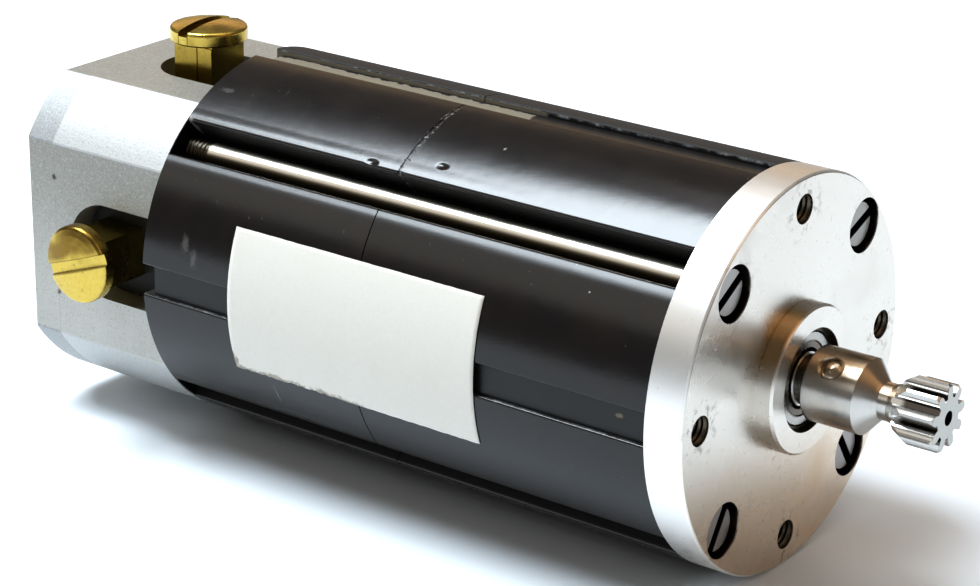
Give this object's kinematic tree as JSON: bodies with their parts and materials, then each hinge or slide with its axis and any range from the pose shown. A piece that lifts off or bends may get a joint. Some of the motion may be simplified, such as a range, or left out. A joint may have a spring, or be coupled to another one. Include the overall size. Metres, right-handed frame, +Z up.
{
  "type": "dc servo motor",
  "caption": "Small brushed dc servo motor: round stator between end bells, brush caps on two flats, and a pinned pinion on the output shaft.",
  "frame": {"origin": "centre of the front mounting face, on the shaft axis", "axes": "+X out of the front along the shaft, +Z up through the top brush cap, the side brush cap points to -Y"},
  "size_m": [0.0858, 0.0352, 0.0351],
  "materials": {
    "machined_aluminium": "fine turned face with light stains and scratches",
    "blasted_aluminium": "matte blasted grey",
    "black_oxide_steel": "black oxide",
    "rubber": "soft matte",
    "screw_steel": "plated",
    "black_paint": "satin paint, worn at the edges",
    "magnet_ceramic": "matte, thinly painted over",
    "label_paper": "matte with worn edges",
    "black_insulation": "matte",
    "brass": "lightly tarnished",
    "spring_steel": "drawn wire",
    "carbon": "matte pressed carbon",
    "bearing_steel": "ground and polished",
    "cage_brass": "stamped",
    "shaft_steel": "ground",
    "lamination_steel": "varnished laminations",
    "fibre": "matte fibre",
    "enamelled_copper": "enamel over copper wire",
    "moulded_resin": "moulded",
    "bare_copper": "turned copper",
    "pinion_steel": "polished, hobbed teeth"
  },
  "bodies": {
    "housing": {"front_end_bell": "machined_aluminium", "rear_end_bell": "blasted_aluminium", "rear_cover": "blasted_aluminium", "cover_screws": "black_oxide_steel", "lead_grommet": "rubber", "tie_rods": "screw_steel", "front_pole_left_upper": "black_paint", "front_pole_right_upper": "black_paint", "front_pole_right_lower": "black_paint", "front_pole_left_lower": "black_paint", "rear_pole_left_upper": "black_paint", "rear_pole_right_upper": "black_paint", "rear_pole_right_lower": "black_paint", "rear_pole_left_lower": "black_paint", "magnet_top": "magnet_ceramic", "magnet_right": "magnet_ceramic", "magnet_bottom": "magnet_ceramic", "magnet_left": "magnet_ceramic", "label": "label_paper", "brush_insulator_top": "black_insulation", "brush_insulator_side": "black_insulation", "brush_holder_top": "brass", "brush_holder_side": "brass", "brush_cap_top": "brass", "brush_cap_side": "brass", "brush_spring_top": "spring_steel", "brush_spring_side": "spring_steel", "front_bearing_outer": "bearing_steel", "front_bearing_shields": "bearing_steel", "rear_bearing_outer": "bearing_steel", "rear_bearing_shields": "bearing_steel", "preload_washer": "spring_steel"},
    "rotor": {"shaft": "shaft_steel", "front_bearing_inner": "bearing_steel", "rear_bearing_inner": "bearing_steel", "front_spacer": "shaft_steel", "rear_shim": "shaft_steel", "retaining_ring": "black_oxide_steel", "armature_core": "lamination_steel", "armature_end_insulators": "fibre", "armature_windings": "enamelled_copper", "commutator_hub": "moulded_resin", "commutator_bars": "bare_copper", "pinion": "pinion_steel", "pinion_pin": "pinion_steel"},
    "front_ball_set": {"front_bearing_balls": "bearing_steel", "front_bearing_cage": "cage_brass"},
    "rear_ball_set": {"rear_bearing_balls": "bearing_steel", "rear_bearing_cage": "cage_brass"},
    "brush_top_carrier": {"brush_top": "carbon", "brush_plate_top": "brass"},
    "brush_side_carrier": {"brush_side": "carbon", "brush_plate_side": "brass"}
  },
  "joints": [
    {"name": "rotor_spin", "type": "hinge", "parent": "housing", "child": "rotor", "pos_m": [0, 0, 0], "axis": [1, 0, 0], "continuous": true},
    {"name": "front_balls_spin", "type": "hinge", "parent": "housing", "child": "front_ball_set", "pos_m": [-0.00079, 0, 0], "axis": [1, 0, 0], "continuous": true},
    {"name": "rear_balls_spin", "type": "hinge", "parent": "housing", "child": "rear_ball_set", "pos_m": [-0.06709, 0, 0], "axis": [1, 0, 0], "continuous": true},
    {"name": "brush_top_slide", "type": "slide", "parent": "housing", "child": "brush_top_carrier", "axis": [0, 0, 1], "range_m": [0, 0.002], "stiffness_N_per_m": 120, "springref_m": -0.003, "deforming": ["brush_spring_top"]},
    {"name": "brush_side_slide", "type": "slide", "parent": "housing", "child": "brush_side_carrier", "axis": [0, -1, 0], "range_m": [0, 0.002], "stiffness_N_per_m": 120, "springref_m": -0.003, "deforming": ["brush_spring_side"]}
  ],
  "couplings": [
    {"joint": "front_balls_spin", "follows": "rotor_spin", "ratio": 0.3572},
    {"joint": "rear_balls_spin", "follows": "rotor_spin", "ratio": 0.3572}
  ]
}
